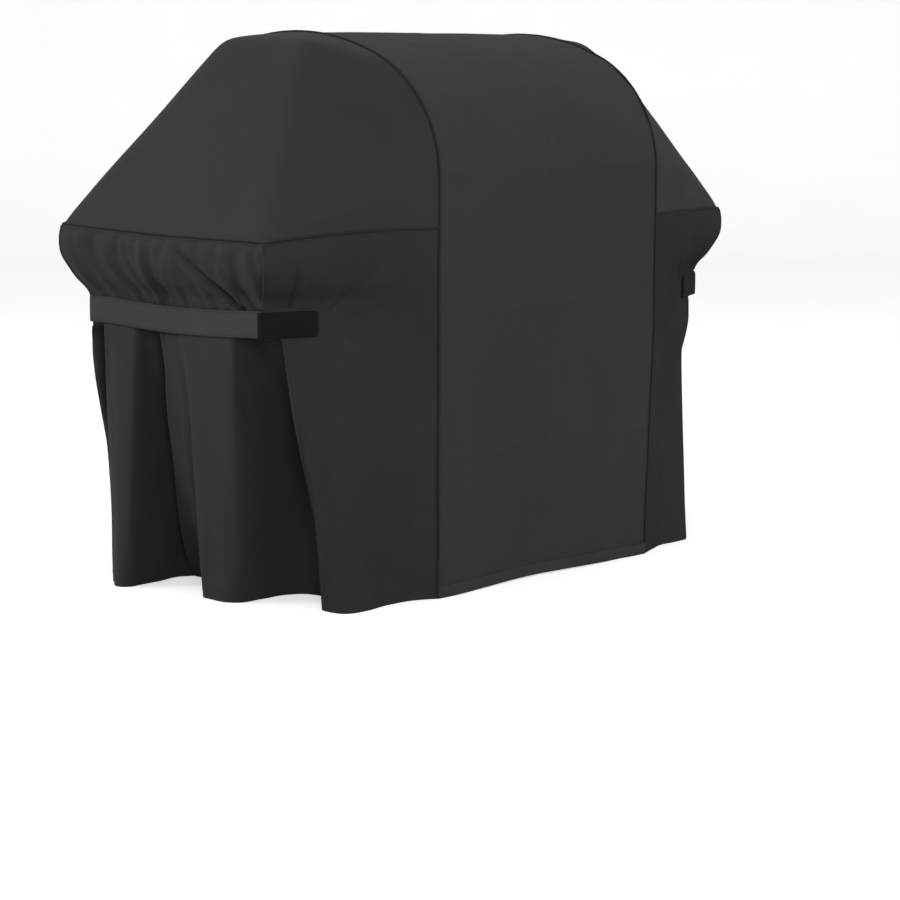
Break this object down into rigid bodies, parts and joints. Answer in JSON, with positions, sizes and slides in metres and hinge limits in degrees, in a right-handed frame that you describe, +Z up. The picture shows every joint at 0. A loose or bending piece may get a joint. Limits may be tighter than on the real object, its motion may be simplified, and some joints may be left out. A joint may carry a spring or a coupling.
{
  "type": "grill cover",
  "caption": "Sewn cloth cover for a cart grill: arched centre panel, sloping shoulders, piped seams, hanging skirts, and a hook-and-loop strap drawing in each end under the side shelf.",
  "frame": {"origin": "centre of the footprint on the plane of the hem", "axes": "+X along the cover's length to its right end, +Y to the back, +Z up"},
  "size_m": [1.5316, 0.7694, 1.1332],
  "materials": {
    "cover_cloth": "black woven polyester with a water-shedding coating, matt with a faint sheen",
    "piping": "bias-cut cloth sewn round a cord, matt black",
    "seam_tape": "narrow woven binding tape, matt black",
    "strap_cloth": "folded and stitched cloth strap, dark grey",
    "tab_webbing": "woven polypropylene webbing, matt black",
    "hook_tape": "moulded nylon hooks on a woven ground",
    "loop_tape": "brushed nylon loop pile"
  },
  "bodies": {
    "cover": {"center_panel": "cover_cloth", "left_shoulder_panel": "cover_cloth", "left_front_skirt": "cover_cloth", "left_end_skirt": "cover_cloth", "left_back_skirt": "cover_cloth", "right_shoulder_panel": "cover_cloth", "right_front_skirt": "cover_cloth", "right_end_skirt": "cover_cloth", "right_back_skirt": "cover_cloth", "left_arch_piping": "piping", "left_shelf_piping": "piping", "right_arch_piping": "piping", "right_shelf_piping": "piping", "left_arch_seam_tape": "seam_tape", "left_shelf_seam_tape": "seam_tape", "left_corner_seam_tapes": "seam_tape", "right_arch_seam_tape": "seam_tape", "right_shelf_seam_tape": "seam_tape", "right_corner_seam_tapes": "seam_tape", "left_loop_patch": "loop_tape", "right_loop_patch": "loop_tape", "left_strap_anchor": "strap_cloth", "right_strap_anchor": "strap_cloth"},
    "left_strap": {"left_strap": "strap_cloth"},
    "left_tab": {"left_strap_tab": "tab_webbing", "left_hook_tape": "hook_tape"},
    "right_strap": {"right_strap": "strap_cloth"},
    "right_tab": {"right_strap_tab": "tab_webbing", "right_hook_tape": "hook_tape"}
  },
  "joints": [
    {"name": "left_strap_swing", "type": "hinge", "parent": "cover", "child": "left_strap", "pos_m": [-0.7249, 0.23862, 0.568], "axis": [0, 0, -1], "range_deg": [0, 110]},
    {"name": "left_tab_peel", "type": "hinge", "parent": "left_strap", "child": "left_tab", "pos_m": [-0.7249, -0.23862, 0.568], "axis": [0, 0, -1], "range_deg": [0, 150]},
    {"name": "right_strap_swing", "type": "hinge", "parent": "cover", "child": "right_strap", "pos_m": [0.7249, 0.23862, 0.568], "axis": [0, 0, 1], "range_deg": [0, 110]},
    {"name": "right_tab_peel", "type": "hinge", "parent": "right_strap", "child": "right_tab", "pos_m": [0.7249, -0.23862, 0.568], "axis": [0, 0, 1], "range_deg": [0, 150]}
  ]
}
